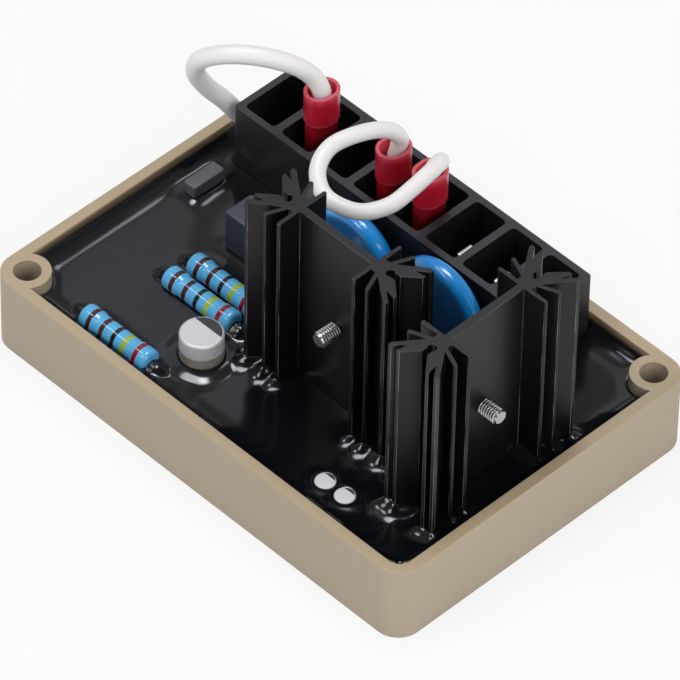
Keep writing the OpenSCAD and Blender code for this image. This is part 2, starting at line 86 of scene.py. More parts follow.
# Radius of the parts' wire leads, and how far they stand out of a resistor's body
LEAD_RADIUS = 0.4 * MM
LEAD_REACH = 2.4 * MM


def paint(red, green, blue):
    """A colour written in the usual 0 to 255 values, as Blender's linear values."""
    parts = [c / 255 for c in (red, green, blue)]
    return [c / 12.92 if c <= 0.04045 else ((c + 0.055) / 1.055) ** 2.4 for c in parts]


def colour(name, description, *rgb):
    """A colour property."""
    return FloatVectorProperty(
        name=name, description=description, subtype="COLOR", size=3, min=0, max=1, default=paint(*rgb)
    )


def length(name, description, millimetres):
    """A length property."""
    return FloatProperty(
        name=name, description=description, subtype="DISTANCE", unit="LENGTH", min=0, default=millimetres * MM
    )


class RegulatorColours(bpy.types.PropertyGroup):
    """Colours of the regulator's finishes"""

    tray: colour("Tray", "Tan moulded plastic", 175, 161, 141)
    # Painted highlight: a warmer tan along the rim stands in for the light that falls on the tray's upper
    # edge
    rim: colour("Tray rim highlight", "Painted highlight: warmer tan along the tray's upper edge", 180, 161, 130)
    resin: colour("Resin", "Black casting resin", 12, 13, 17)
    film: colour("Resin film", "Thin brown resin high on the tray walls", 92, 76, 54)
    block: colour("Terminal block", "Black moulded plastic", 23, 23, 27)
    sleeve: colour("Sleeves", "Red connector sleeves", 192, 26, 50)
    # Painted light: a paler red where light shines through the thin rim, inside the funnel and along the
    # funnel's lower edge
    sleeve_rim: colour("Sleeve painted light", "Painted light: paler red at the thin rim, inside the funnel and along its ledge", 222, 92, 110)
    wire: colour("Wires", "White insulation", 240, 238, 237)
    anodised: colour("Heat sinks", "Black anodised aluminium", 13, 13, 16)
    # Painted highlight on the fins' rounded edges, where light catches them
    edge_highlight: colour("Fin edges", "Painted highlights on the heat sinks' edges", 140, 140, 144)
    steel: colour("Screws", "Plated steel", 205, 205, 206)
    tin: colour("Tabs", "Tinned metal", 214, 213, 209)
    brass: colour("Receptacles", "Rolled brass", 196, 164, 96)
    varistor: colour("Varistors", "Blue dipped coating", 22, 156, 243)
    # Painted shade: the flat of the discs, between the heat sinks and the block, is darker than the rim
    disc_face: colour("Disc face shade", "Painted shade: darker blue on the flat of the discs", 40, 108, 168)
    small_box: colour("Small box", "Dark grey capacitor case", 92, 94, 102)
    large_box: colour("Large box", "Slate capacitor case", 50, 59, 70)
    resistor: colour("Resistors", "Sky blue lacquer", 94, 184, 234)
    can: colour("Cans", "Aluminium cans", 204, 204, 208)
    ink: colour("Can marks", "Dark segment on a can", 24, 25, 28)
    epoxy: colour("Devices", "Black moulding compound", 30, 30, 32)
    board: colour("Board", "Green circuit board", 36, 84, 52)
    trimmer: colour("Trimmer faces", "Cream turning faces", 226, 222, 208)
    housing: colour("Trimmer housings", "Blue grey moulding", 60, 70, 88)


class RegulatorSizes(bpy.types.PropertyGroup):
    """Sizes of the details that the finishes add"""

    tray_edge: length("Tray edge", "Rounding of the tray's edges", 0.45)
    block_edge: length("Block edge", "Rounding of the terminal block's edges", 0.28)
    sleeve_edge: length("Sleeve edge", "Rounding of the sleeves' edges", 0.22)
    fin_edge: length("Fin edge", "Rounding of the heat sinks' edges", 0.2)
    case_edge: length("Case edge", "Rounding of the box capacitors' edges", 0.5)
    device_edge: length("Device edge", "Rounding of the power devices' bodies", 0.3)
    small_edge: length("Small edge", "Rounding of tabs, frames, screw heads and trimmers", 0.12)
    resin_cell: length("Resin cell", "Width of one cell of the resin's surface", 0.39)
    wall_climb: length("Wall climb", "How far the resin climbs the tray walls", 3.5)
    wall_reach: length("Wall reach", "How far that climb reaches into the tray", 2.0)
    part_climb: length("Part climb", "How far the resin climbs the parts", 1.3)
    part_reach: length("Part reach", "How far that climb reaches from a part", 1.6)
    thread_pitch: length("Thread pitch", "Pitch of the heat sink screws", 0.7)
    thread_depth: length("Thread depth", "Depth of the heat sink screws' thread", 0.36)
    wire_1: length("Long wire", "Diameter of the wire that ends in the resin", 4.6)
    wire_2: length("Short wire", "Diameter of the wire between two terminals", 4.0)


def colours():
    """The colours the user has set."""
    return bpy.context.scene.regulator_colours


def sizes():
    """The sizes the user has set."""
    return bpy.context.scene.regulator_sizes


class Socket:
    """An output of a shader node that Python's operators turn into Math nodes."""

    def __init__(self, finish, output):
        self.finish = finish
        self.output = output

    def maths(self, operation, *values):
        return self.finish.add("ShaderNodeMath", dict(enumerate(values)), operation=operation)

    def __add__(self, other):
        return self.maths("ADD", self, other)

    def __radd__(self, other):
        return self.maths("ADD", other, self)

    def __sub__(self, other):
        return self.maths("SUBTRACT", self, other)

    def __rsub__(self, other):
        return self.maths("SUBTRACT", other, self)

    def __mul__(self, other):
        return self.maths("MULTIPLY", self, other)

    def __rmul__(self, other):
        return self.maths("MULTIPLY", other, self)

    def __truediv__(self, other):
        return self.maths("DIVIDE", self, other)

    def __rtruediv__(self, other):
        return self.maths("DIVIDE", other, self)

    def __gt__(self, other):
        return self.maths("GREATER_THAN", self, other)

    def __lt__(self, other):
        return self.maths("LESS_THAN", self, other)

    def __abs__(self):
        return self.maths("ABSOLUTE", self)


class Nodes:
    """A node tree that grows one node at a time."""

    def __init__(self, tree):
        self.tree = tree

    def add(self, kind, inputs=(), output=0, stops=(), **settings):
        """A node of that kind, with its settings, its ramp's stops and its inputs' values or links."""
        node = self.tree.nodes.new(kind)
        for key, value in settings.items():
            setattr(node, key, value)
        for index, (position, tint) in enumerate(stops):
            elements = node.color_ramp.elements
            element = elements[index] if index < len(elements) else elements.new(position)
            element.position = position
            element.color = [*tint, 1]
        for key, value in dict(inputs).items():
            self.feed(node.inputs[key], value)
        return Socket(self, node.outputs[output])

    def feed(self, socket, value):
        if isinstance(value, Socket):
            self.tree.links.new(value.output, socket)
        elif socket.type == "RGBA":
            socket.default_value = [*value, 1]
        else:
            socket.default_value = value

    def remap(self, value, low, high, first=0, last=1, **settings):
        """A value carried over from one range to another, and held at its ends."""
        inputs = {"Value": value, "From Min": low, "From Max": high, "To Min": first, "To Max": last}
        return self.add("ShaderNodeMapRange", inputs, clamp=True, **settings)

    def ray(self, kind):
        """1 where a ray of that kind looks, otherwise 0."""
        return self.add("ShaderNodeLightPath", output=f"Is {kind} Ray")


class Finish(Nodes):
    """A material: constants go on its shader's sockets, patterns come from nodes."""

    def __init__(self, name, constants=()):
        self.material = bpy.data.materials.new(name)
        self.material.use_nodes = True
        super().__init__(self.material.node_tree)
        self.shader = self.tree.nodes["Principled BSDF"]
        self.place = self.add("ShaderNodeTexCoord", output="Object")
        for socket, value in dict(constants).items():
            self.set(socket, value)

    def set(self, name, value):
        self.feed(self.shader.inputs[name], value)

    def noise(self, scale, detail=3.0, stretch=(1, 1, 1)):
        """Grey noise on Object coordinates; scale counts its features per metre."""
        where = self.place
        if tuple(stretch) != (1, 1, 1):
            where = self.add("ShaderNodeMapping", {"Vector": self.place, "Scale": stretch})
        return self.add("ShaderNodeTexNoise", {"Vector": where, "Scale": scale, "Detail": detail})

    def mix(self, share, first, second, blend="MIX"):
        """A colour between two colours, or one laid over the other."""
        inputs = {0: share, 6: first, 7: second}
        settings = {"data_type": "RGBA", "blend_type": blend, "clamp_factor": True}
        return self.add("ShaderNodeMix", inputs, output=2, **settings)

    def step(self, value, low, high):
        """A soft step from 0 at a low value to 1 at a high one."""
        return self.remap(value, low, high, interpolation_type="SMOOTHSTEP")

    def axis(self, name):
        """One of the Object coordinates, in metres."""
        return self.add("ShaderNodeSeparateXYZ", {0: self.place}, output=name)

    def tinted(self, tint, share, dark):
        """A colour that turns darker, by a multiplied tone, where a share is low."""
        return self.mix(1, tint, self.mix(share, dark, (1, 1, 1)), blend="MULTIPLY")

    def surface(self, tint, roughness, relief, depth):
        """Sets the colour, the roughness and a relief of that depth in millimetres; returns the finish."""
        self.set("Base Color", tint)
        self.set("Roughness", roughness)
        inputs = {"Height": relief, "Distance": depth * MM, "Strength": 1.0}
        self.set("Normal", self.add("ShaderNodeBump", inputs, output="Normal"))
        return self


def shade(tint, factor):
    """A colour made lighter or darker by a factor."""
    return [min(1, c * factor) for c in tint]


def moulded(name, tint, roughness, grain=900, depth=0.02, variation=0.12, constants=()):
    """Moulded plastic: a faint mottle in colour and gloss, and a fine grain."""
    finish = Finish(name, constants)
    mottle = finish.noise(45, 4)
    grains = finish.noise(grain, 2)
    tone = finish.mix(mottle, shade(tint, 1 - variation), shade(tint, 1 + variation))
    return finish.surface(tone, roughness - 0.06 + mottle * 0.08 + grains * 0.05, grains, depth)


def metal(name, tint, roughness, grain=500, stretch=(1, 1, 1)):
    """Bare or plated metal with fine marks along one direction."""
    finish = Finish(name, {"Metallic": 1.0})
    marks = finish.noise(grain, 3, stretch)
    clouds = finish.noise(60, 3)
    tone = finish.mix(clouds, shade(tint, 0.9), tint)
    return finish.surface(tone, roughness - 0.05 + marks * 0.12 + clouds * 0.05, marks, 0.008)


def node_mesh(node):
    """A merged copy of a CAD node's mesh, with each flat face whole."""
    bm = bmesh.new()
    bm.from_mesh(NODES[node].data)
    bmesh.ops.remove_doubles(bm, verts=bm.verts, dist=MERGE)
    bmesh.ops.dissolve_limit(bm, angle_limit=math.radians(0.4), verts=bm.verts, edges=bm.edges)
    return bm


def soften(bm, width, segments=2):
    """Rounds every sharp edge and returns the new faces."""
    edges = [e for e in bm.edges if e.is_manifold and e.calc_face_angle() > SHARP]
    rounded = bmesh.ops.bevel(
        bm, geom=edges, offset=width, offset_type="OFFSET", affect="EDGES", segments=segments, profile=0.5,
        material=-1, clamp_overlap=True, loop_slide=True,
    )
    bmesh.ops.remove_doubles(bm, verts=bm.verts, dist=MERGE / 4)
    return [f for f in rounded["faces"] if f.is_valid]


def slot_of(node):
    """The record's material slot of a CAD node."""
    return next(s["material_slot"] for s in frame["record"]["subparts"] if s["node"] == node)


def link(data):
    """An object in the scene that shows some data and has its name."""
    item = bpy.data.objects.new(data.name, data)
    bpy.context.scene.collection.objects.link(item)
    return item


def add_piece(data, node, body=BODY):
    """A piece that rides on a body and stands for a CAD node."""
    piece = link(data)
    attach(piece, body)
    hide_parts(node)
    slot_of(node)
    return piece


def to_mesh(bm, name):
    """The mesh that a bmesh ends as."""
    mesh = bpy.data.meshes.new(name)
    bm.to_mesh(mesh)
    bm.free()
    return mesh


def finish_piece(bm, node, finish, body=BODY, weighted=False):
    """Turns a bmesh into the smooth shaded piece that stands for a CAD node."""
    for face in bm.faces:
        face.smooth = True
    for edge in bm.edges:
        edge.smooth = not edge.is_manifold or edge.calc_face_angle() < SHARP
    mesh = to_mesh(bm, node + "_piece")
    mesh.materials.append(finish.material)
    piece = add_piece(mesh, node, body)
    if weighted:
        piece.modifiers.new("Flat faces", "WEIGHTED_NORMAL").keep_sharp = True
    return piece


def soften_nodes(nodes, finish, width, segments=2, body=BODY):
    """Makes a piece with rounded edges of each CAD node."""
    for node in nodes:
        bm = node_mesh(node)
        soften(bm, width, segments)
        finish_piece(bm, node, finish, body, weighted=True)


def dress(nodes, finish):
    """Gives CAD nodes that stay as they are their finish."""
    for node in nodes:
        materials = NODES[node].data.materials
        materials.clear()
        materials.append(finish.material)


def corners(node):
    """The lowest and the highest corner of a CAD node's box."""
    return [Vector(corner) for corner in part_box(node)]


def centre(node):
    """The middle of a CAD node's box."""
    low, high = corners(node)
    return (low + high) / 2


def top(node):
    """The highest level of a CAD node."""
    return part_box(node)[1][2]


def numbered(stem):
    """The CAD nodes whose names are a stem and a number, in order."""
    return sorted(n for n in NODES if n.startswith(stem) and n[len(stem):].isdigit())


def spun(profile, steps, rise=0):
    """A surface spun once about Z from radius and height pairs, which may rise as it turns."""
    bm = bmesh.new()
    line = [bm.verts.new((radius, 0, height)) for radius, height in profile]
    edges = [bm.edges.new(pair) for pair in zip(line, line[1:])]
    bmesh.ops.spin(
        bm, geom=line + edges, cent=(0, 0, 0), axis=(0, 0, 1), dvec=(0, 0, rise / steps), angle=math.tau,
        steps=steps, use_merge=not rise, use_duplicate=False,
    )
    bmesh.ops.remove_doubles(bm, verts=bm.verts, dist=MERGE)
    return bm


def turned(profile, steps, place):
    """A closed body turned from a profile whose ends lie on its axis, then put in place."""
    bm = spun(profile, steps)
    bmesh.ops.recalc_face_normals(bm, faces=bm.faces)
    bmesh.ops.transform(bm, matrix=place, verts=bm.verts)
    return bm


def arc(middle, radius, start, end, count):
    """Points on an arc round a middle, with angles in degrees."""
    angles = [math.radians(start + (end - start) * i / count) for i in range(count + 1)]
    return [(middle[0] + radius * math.cos(a), middle[1] + radius * math.sin(a)) for a in angles]


def turn_to(direction):
    """A turn that brings the Z axis to a direction."""
    return direction.to_track_quat("Z", "Y").to_matrix().to_4x4()


def add_lead(bm, start, end):
    """Adds a stretch of wire lead, a closed round rod between two points."""
    along = end - start
    bmesh.ops.create_cone(
        bm, cap_ends=True, cap_tris=False, segments=12, radius1=LEAD_RADIUS, radius2=LEAD_RADIUS,
        depth=along.length, matrix=Matrix.Translation((start + end) / 2) @ turn_to(along),
    )


def smooth_route(points, steps):
    """Points along a smooth line through given points."""
    line = []
    last = len(points) - 1
    for i in range(last):
        a, b, c, d = (points[min(max(k, 0), last)] for k in (i - 1, i, i + 1, i + 2))
        for k in range(steps):
            t = k / steps
            bend = 2 * a - 5 * b + 4 * c - d
            turn = 3 * b - a - 3 * c + d
            line.append(0.5 * (2 * b + (c - a) * t + bend * t**2 + turn * t**3))
    return [*line, points[last]]


def on_axis(number, stem):
    """The point on a sleeve's axis at the top of the numbered node with that stem."""
    return Vector((*centre(f"crimp_sleeve_{number}")[:2], top(f"{stem}_{number}")))


def near(origin, *offsets):
    """Points given in millimetres from an origin."""
    return [origin + Vector(offset) * MM for offset in offsets]


def add_wire(number, points, diameter, finish):
    """A jumper wire along given points, from a receptacle back into the regulator."""
    node = f"jumper_wire_{number}"
    line = smooth_route(points, steps=7)
    curve = bpy.data.curves.new(node + "_piece", "CURVE")
    curve.dimensions = "3D"
    curve.bevel_depth = diameter / 2
    curve.bevel_resolution = 8
    curve.use_fill_caps = True
    spline = curve.splines.new("POLY")
    spline.points.add(len(line) - 1)
    for target, point in zip(spline.points, line):
        target.co = (*point, 1)
    spline.use_smooth = True
    curve.materials.append(finish.material)
    wire = add_piece(curve, node)
    run = sum((b - a).length for a, b in zip(line, line[1:]))


class REGULATOR_OT_jumper_wires(bpy.types.Operator):
    """Make the two white jumper wires"""

    bl_idname = "regulator.jumper_wires"
    bl_label = "Jumper Wires"

    def execute(self, context):
        insulation = moulded(
            "White insulation", colours().wire, 0.42, grain=700, depth=0.012, variation=0.02,
            constants={
                "Subsurface Weight": 0.35, "Subsurface Scale": 1.5 * MM, "Subsurface Radius": (1, 0.95, 0.9),
            },
        )
        starts = [on_axis(number, "receptacle") for number in (1, 2, 3)]
        mouths = [on_axis(number, "crimp_sleeve") for number in (1, 2, 3)]
        resin, board = top("potting"), top("circuit_board")
        between = (corners("terminal_block")[0].x + corners("potting")[0].x) / 2
        end = Vector((between - 0.1 * MM, mouths[0].y - 2 * MM, resin))
        first = [
            starts[0],
            *near(
                mouths[0], (0, 0, -5), (-0.1, 0, -0.8), (-2, -1, 3.2), (-4.5, -5, 7.9), (-9.8, -11, 10.9),
                (-16, -16, 10.5), (-22, -18, 5.9), (-25, -16.6, -0.9), (-25, -13.2, -7.7),
            ),
            *near(end, (-0.9, -7, 15.8), (-0.4, -3.8, 10.4), (0, -1.2, 6.5), (0, 0, 3.5), (0, 0, 0.8)),
            Vector((end.x, end.y, (resin + board) / 2)),
            Vector((end.x, end.y, board)),
        ]
        second = [
            starts[1],
            *near(
                mouths[1], (0.1, 0.2, -4), (0.5, 0.9, -0.4), (1, 0.8, 3.2), (0.4, -3, 7.6),
                (-0.8, -10.4, 10.6), (-2, -18.6, 11), (0.2, -24.8, 9.6), (5.4, -28.4, 8.4), (10.6, -28, 7.4),
                (15.2, -24.8, 6.6), (17.8, -18.8, 6.6), (17.7, -12.2, 7),
            ),
            *near(
                mouths[2], (5.3, -6, 6.8), (3.6, -0.5, 5.5), (1.5, 1, 2.9), (0.2, 0.7, 0), (0, 0.1, -4.2)
            ),
            starts[2],
        ]
        add_wire(1, first, sizes().wire_1, insulation)
        add_wire(2, second, sizes().wire_2, insulation)
        return {"FINISHED"}


class REGULATOR_OT_tray(bpy.types.Operator):
    """Make the tan tray with its two mounting bosses"""

    bl_idname = "regulator.tray"
    bl_label = "Tray"

    def execute(self, context):
        soften_nodes(["tray"], self.plastic(), sizes().tray_edge, 3)
        return {"FINISHED"}

    def plastic(self):
        """Fine tan moulding, a little smoother along the upper edge, with a painted highlight that makes that
        edge warmer.
        """
        finish = Finish("Tan plastic")
        mottle = finish.noise(45, 4)
        grains = finish.noise(1400, 2)
        upper = top("tray")
        height = finish.axis("Z") + (mottle - 0.5) * 0.5 * MM
        # Painted highlight: the rim mask makes the upper edge warmer, as if lit
        rim = finish.step(height, upper - 1.2 * MM, upper - 0.2 * MM)
        tint = finish.tinted(finish.mix(rim, colours().tray, colours().rim), mottle, (0.95, 0.95, 0.95))
        return finish.surface(tint, 0.46 + mottle * 0.08 + grains * 0.05 - rim * 0.12, grains, 0.012)


def resin_edges(bm, level):
    """Points along every line where the resin's flat top meets a wall or a part."""
    step = 0.2 * MM
    points = []
    for edge in bm.edges:
        a, b = (v.co for v in edge.verts)
        flat = [f for f in edge.link_faces if abs(f.normal.z) > 0.9]
        on_top = abs(a.z - level) < MERGE and abs(b.z - level) < MERGE
        if on_top and len(flat) == 1:
            count = max(1, round((b - a).length / step))
            points += [a.lerp(b, i / count) for i in range(count + 1)]
    return points


def shore(points):
    """A finder of the nearest of some points, seen from above."""
    tree = KDTree(len(points))
    for index, point in enumerate(points):
        tree.insert((point.x, point.y, 0), index)
    tree.balance()
    return tree


class ResinSurface:
    """The resin's free surface, which climbs the walls, the bosses and the parts."""

    # How close to a wall or a boss a point of the resin's edge counts as on it
    touch = 0.2 * MM
    boss_radius = 5.7 * MM
    boss_climb = 0.5 * MM
    boss_reach = 0.8 * MM
    swell = 0.02 * MM
    ripple = 0.9 * MM
    # Features per metre of the noise in the slow swell, the cans' pour and the parts' climb
    swell_scale, ripple_scale, climb_scale = 45, 170, 120
    # Share by which the parts' climb varies, its slope inside an outline, and its share on the leads' mounds
    uneven = 0.45
    inward_fall = 1.6
    mound_climb = 0.4

    def __init__(self):
        self.low, self.high = corners("potting")
        self.level = self.high.z
        flat = node_mesh("potting")
        self.solid = BVHTree.FromBMesh(flat)
        edges = resin_edges(flat, self.level)
        flat.free()
        mounts = frame["record"]["mounts"]
        self.bosses = [Vector(m["pos_m"]) for m in mounts if m["name"].startswith("mounting_hole")]
        self.leads = self.resistor_leads()
        self.collars = self.can_collars()
        inner = [p for p in edges if min(self.wall_gaps(p)) > self.touch]
        boss_edge = self.boss_radius + self.touch
        at_parts = [p for p in inner if self.boss_distance(p) >= boss_edge and not self.at_lead(p)]
        self.boss_shore = shore([p for p in inner if self.boss_distance(p) < boss_edge])
        self.part_shore = shore(at_parts)
        self.climbs = self.part_climbs(at_parts)

    def wall_gaps(self, place):
        """How far a place lies from each tray wall."""
        low, high = self.low, self.high
        return place.x - low.x, high.x - place.x, place.y - low.y, high.y - place.y

    def boss_distance(self, place):
        """How far a place lies from the middle of the nearest boss."""
        return min((place.xy - boss.xy).length for boss in self.bosses)

    def at_lead(self, place):
        """Whether a lead goes down through the resin there."""
        gaps = [(abs(place.x - elbow), abs(place.y - line)) for elbow, _, line, *_ in self.leads]
        return any(max(gap) < MM for gap in gaps)

    def in_hole(self, place):
        """Whether a part or a wall stands there instead of resin."""
        hit = self.solid.ray_cast((place.x, place.y, self.level + MM), (0, 0, -1))[0]
        return (hit is None or hit.z < self.level - 0.1 * MM) and not self.at_lead(place)

    def part_climbs(self, points):
        """How far the resin climbs at points of the parts' outlines, by shares at their middle and ends."""
        shares = (
            ("terminal_block", 0.25, 0.25), ("film_capacitor_large", 0.45, 0.45),
            ("film_capacitor_small", 0.8, 0.8), ("electrolytic_large", 0.35, 0.35), ("resistor_", 0.3, 0.3),
            ("electrolytic_small_", 0.15, 0.15), ("heat_sink_", 0.35, 2.2),
        )
        ends_from, ends_full = 0.35, 0.6
        margin = Vector((0.4, 0.4, 0)) * MM
        boxes = []
        for stem, inner, outer in shares:
            for node in numbered(stem) or [stem]:
                low, high = corners(node)
                boxes.append(((low + high) / 2, (high - low) / 2 + margin, inner, outer))

        def climb(point):
            for middle, half, inner, outer in boxes:
                along, across = (abs(point[k] - middle[k]) / half[k] for k in range(2))
                if max(along, across) < 1:
                    far = along if half.x > half.y else across
                    share = min(max((far - ends_from) / (ends_full - ends_from), 0), 1)
                    return (inner + (outer - inner) * share) * sizes().part_climb
            return sizes().part_climb

        return [climb(point) for point in points]

    def can_collars(self):
        """The thick pour round each can: middle, radius, where it starts and ends to fall, height."""
        found = []
        for node in ("electrolytic_large", *numbered("electrolytic_small_")):
            low, high = corners(node)
            start, end, rise = (1.2, 4.8, 0.62) if node == "electrolytic_large" else (0.9, 3.1, 0.42)
            found.append((centre(node).xy, (high.x - low.x) / 2, start * MM, end * MM, rise * MM))
        return found

    def collar(self, place):
        """The height of the pour round the cans."""
        ripple = self.ripple * noise.noise(place * self.ripple_scale)

        def rise_of(middle, radius, start, end, rise):
            out = (place.xy - middle).length - radius + ripple
            fall = min(max((out - start) / (end - start), 0), 1)
            return rise * (1 - fall * fall * (3 - 2 * fall))

        return max(rise_of(*collar) for collar in self.collars)

    def resistor_leads(self):
        """Each resistor lead: its elbow, its end at the body, its line, and its cover's height and spread."""
        cover_over_axis = 0.65 * MM
        found = []
        for node in numbered("resistor_"):
            low, high = corners(node)
            line = (low.y + high.y) / 2
            cover = high.z - (high.y - low.y) / 2 + cover_over_axis - self.level
            left, right = low.x + LEAD_RADIUS, high.x - LEAD_RADIUS
            found.append((left, left + LEAD_REACH, line, cover, 1.4 * MM))
            found.append((right, right - LEAD_REACH, line, cover, 2.2 * MM))
        return found

    def mound(self, place):
        """The height of the resin that swallows the leads and falls away all round them."""

        def rise_of(elbow, body, line, cover, spread):
            beyond = max(min(elbow, body) - place.x, place.x - max(elbow, body), 0)
            return cover * math.exp(-(beyond**2 + (place.y - line) ** 2) / spread**2)

        return max(rise_of(*lead) for lead in self.leads)

    def height(self, place):
        """The surface's level at a place in the tray."""
        part, index, gap = self.part_shore.find(place)
        boss_gap = self.boss_shore.find(place)[2]
        gaps = self.wall_gaps(place)
        climb = self.climbs[index] * (1 + self.uneven * noise.noise(part * self.climb_scale))
        collar, mound = self.collar(place), self.mound(place)
        wall_climb, wall_reach = sizes().wall_climb, sizes().wall_reach
        if self.in_hole(place):
            at_wall = min(gap, boss_gap) >= min(gaps)
            inward = max(collar + climb - self.inward_fall * gap, mound)
            return self.level + (wall_climb if at_wall else inward)
        rise = min(sum(wall_climb * math.exp(-max(g, 0) / wall_reach) for g in gaps), wall_climb)
        rise += self.swell * noise.noise(place * self.swell_scale)
        rise += climb * math.exp(-gap / sizes().part_reach)
        rise += self.boss_climb * math.exp(-boss_gap / self.boss_reach) + collar
        return self.level + max(rise, mound + self.mound_climb * rise)


class REGULATOR_OT_resin(bpy.types.Operator):
    """Make the black resin, which climbs the walls and the parts"""

    bl_idname = "regulator.resin"
    bl_label = "Resin"

    def execute(self, context):
        surface = ResinSurface()
        bm = self.grid(surface)
        for vert in bm.verts:
            vert.co.z = surface.height(Vector((vert.co.x, vert.co.y, 0)))
        free_of_leads, passes = 0.3 * MM, 8
        loose = [v for v in bm.verts if not v.is_boundary and surface.mound(v.co) < free_of_leads]
        for _ in range(passes):
            bmesh.ops.smooth_vert(bm, verts=loose, factor=0.5, use_axis_z=True)
        rim = [e for e in bm.edges if e.is_boundary]
        wall = bmesh.ops.extrude_edge_only(bm, edges=rim)["geom"]
        for vert in (g for g in wall if isinstance(g, bmesh.types.BMVert)):
            vert.co.z = surface.low.z
        bmesh.ops.contextual_create(bm, geom=[e for e in bm.edges if e.is_boundary])
        bmesh.ops.recalc_face_normals(bm, faces=bm.faces)
        finish_piece(bm, "potting", self.resin())
        return {"FINISHED"}

    def grid(self, surface):
        """A flat grid over the tray's inside that reaches a little into the walls and bosses."""
        into_wall = 0.25 * MM
        boss_core = 4.4 * MM
        span = surface.high - surface.low + Vector((2, 2, 0)) * into_wall
        middle = (surface.low + surface.high) / 2
        columns, rows = (round(side / sizes().resin_cell) for side in span.xy)
        place = Matrix.Translation((middle.x, middle.y, 0)) @ Matrix.Diagonal((span.x, span.y, 1, 1))
        bm = bmesh.new()
        bmesh.ops.create_grid(bm, x_segments=columns, y_segments=rows, size=0.5, matrix=place)
        hidden = [v for v in bm.verts if surface.boss_distance(v.co) < boss_core]
        bmesh.ops.delete(bm, geom=hidden, context="VERTS")
        return bm

    def resin(self):
        """Cast resin: glossy, with faint dust and a slow swell, and brown where it is thin on the walls."""
        finish = Finish("Black resin", {"IOR": 1.5})
        dust = finish.noise(1500, 2)
        haze = finish.noise(38, 4)
        high = corners("potting")[1]
        upper = high.z + sizes().wall_climb
        thin = finish.step(finish.axis("Z") + (haze - 0.5) * MM, upper - 1.5 * MM, upper - 0.3 * MM)
        at_x, at_y = (
            finish.step(abs(finish.axis(name)), edge - MM, edge - 0.3 * MM) for name, edge in zip("XY", high)
        )
        film = thin * at_x.maths("MAXIMUM", at_x, at_y)
        body = finish.mix(haze, shade(colours().resin, 0.8), shade(colours().resin, 1.35))
        roughness = 0.09 + haze * 0.07 + (dust > 0.72) * 0.08 + film * 0.2
        return finish.surface(finish.mix(film, body, colours().film), roughness, finish.noise(90, 2), 0.008)


class REGULATOR_OT_terminal_block(bpy.types.Operator):
    """Make the terminal block and its tabs"""

    bl_idname = "regulator.terminal_block"
    bl_label = "Terminal Block"

    def execute(self, context):
        plastic = moulded("Black block plastic", colours().block, 0.46, grain=1100)
        soften_nodes(["terminal_block"], plastic, sizes().block_edge, 3)
        tin = metal("Tinned tab", colours().tin, 0.3, grain=700, stretch=(1, 1, 0.1))
        soften_nodes(numbered("terminal_tab_"), tin, sizes().small_edge)
        return {"FINISHED"}


class REGULATOR_OT_connectors(bpy.types.Operator):
    """Make the red sleeves and the receptacles inside them"""

    bl_idname = "regulator.connectors"
    bl_label = "Push-on Connectors"

    def execute(self, context):
        for node in numbered("crimp_sleeve_"):
            soften_nodes([node], self.sleeve(node), sizes().sleeve_edge, 3)
        dress(numbered("receptacle_"), metal("Rolled brass", colours().brass, 0.32))
        return {"FINISHED"}

    def sleeve(self, node):
        """Soft translucent red: painted light makes it paler inside the funnel, at its rim and along the
        funnel's lower edge, and painted shade makes it darker below.
        """
        finish = Finish("Red " + node, {
            "Coat Weight": 0.3, "Coat Roughness": 0.12, "Subsurface Weight": 0.7, "Subsurface Scale": 3 * MM,
            "Subsurface Radius": (1, 0.25, 0.3),
        })
        funnel_height = 8.6 * MM
        funnel_straight = 0.75 * MM
        funnel_bore = 3.3 * MM
        middle, upper = centre(node), top(node)
        ledge = upper - funnel_height
        mottle = finish.noise(260, 3)
        height = finish.axis("Z")
        funnel = finish.step(height, ledge - 0.3 * MM, ledge + 0.1 * MM)
        # Painted shade: the sleeve turns darker from the ledge down into the block's chamber
        painted_chamber_shade = finish.mix(finish.step(height, ledge - 8 * MM, ledge), (0.3, 0.28, 0.28), (0.7, 0.66, 0.66))
        tint = finish.mix(mottle, shade(colours().sleeve, 0.82), shade(colours().sleeve, 1.15))
        body = finish.tinted(tint, funnel, painted_chamber_shade)
        off_x = abs(finish.axis("X") - middle.x)
        off_y = off_x.maths("MAXIMUM", abs(finish.axis("Y") - middle.y) - funnel_straight, 0)
        # Painted light: paler inside the funnel's bore, at the rim and in a thin line along the ledge
        inside = (off_x * off_x + off_y * off_y < funnel_bore**2) * funnel
        rim = finish.step(height + (mottle - 0.5) * 0.8 * MM, upper - 2.4 * MM, upper + 0.4 * MM)
        line = finish.step(height, ledge - 0.1 * MM, ledge + 0.05 * MM) * (height < ledge + 0.4 * MM)
        edges = rim.maths("MAXIMUM", rim * 0.75, line * 0.55)
        painted_light_share = rim.maths("MAXIMUM", edges, inside)
        return finish.surface(
            finish.mix(painted_light_share, body, colours().sleeve_rim), 0.26 + mottle * 0.1, mottle, 0.04
        )


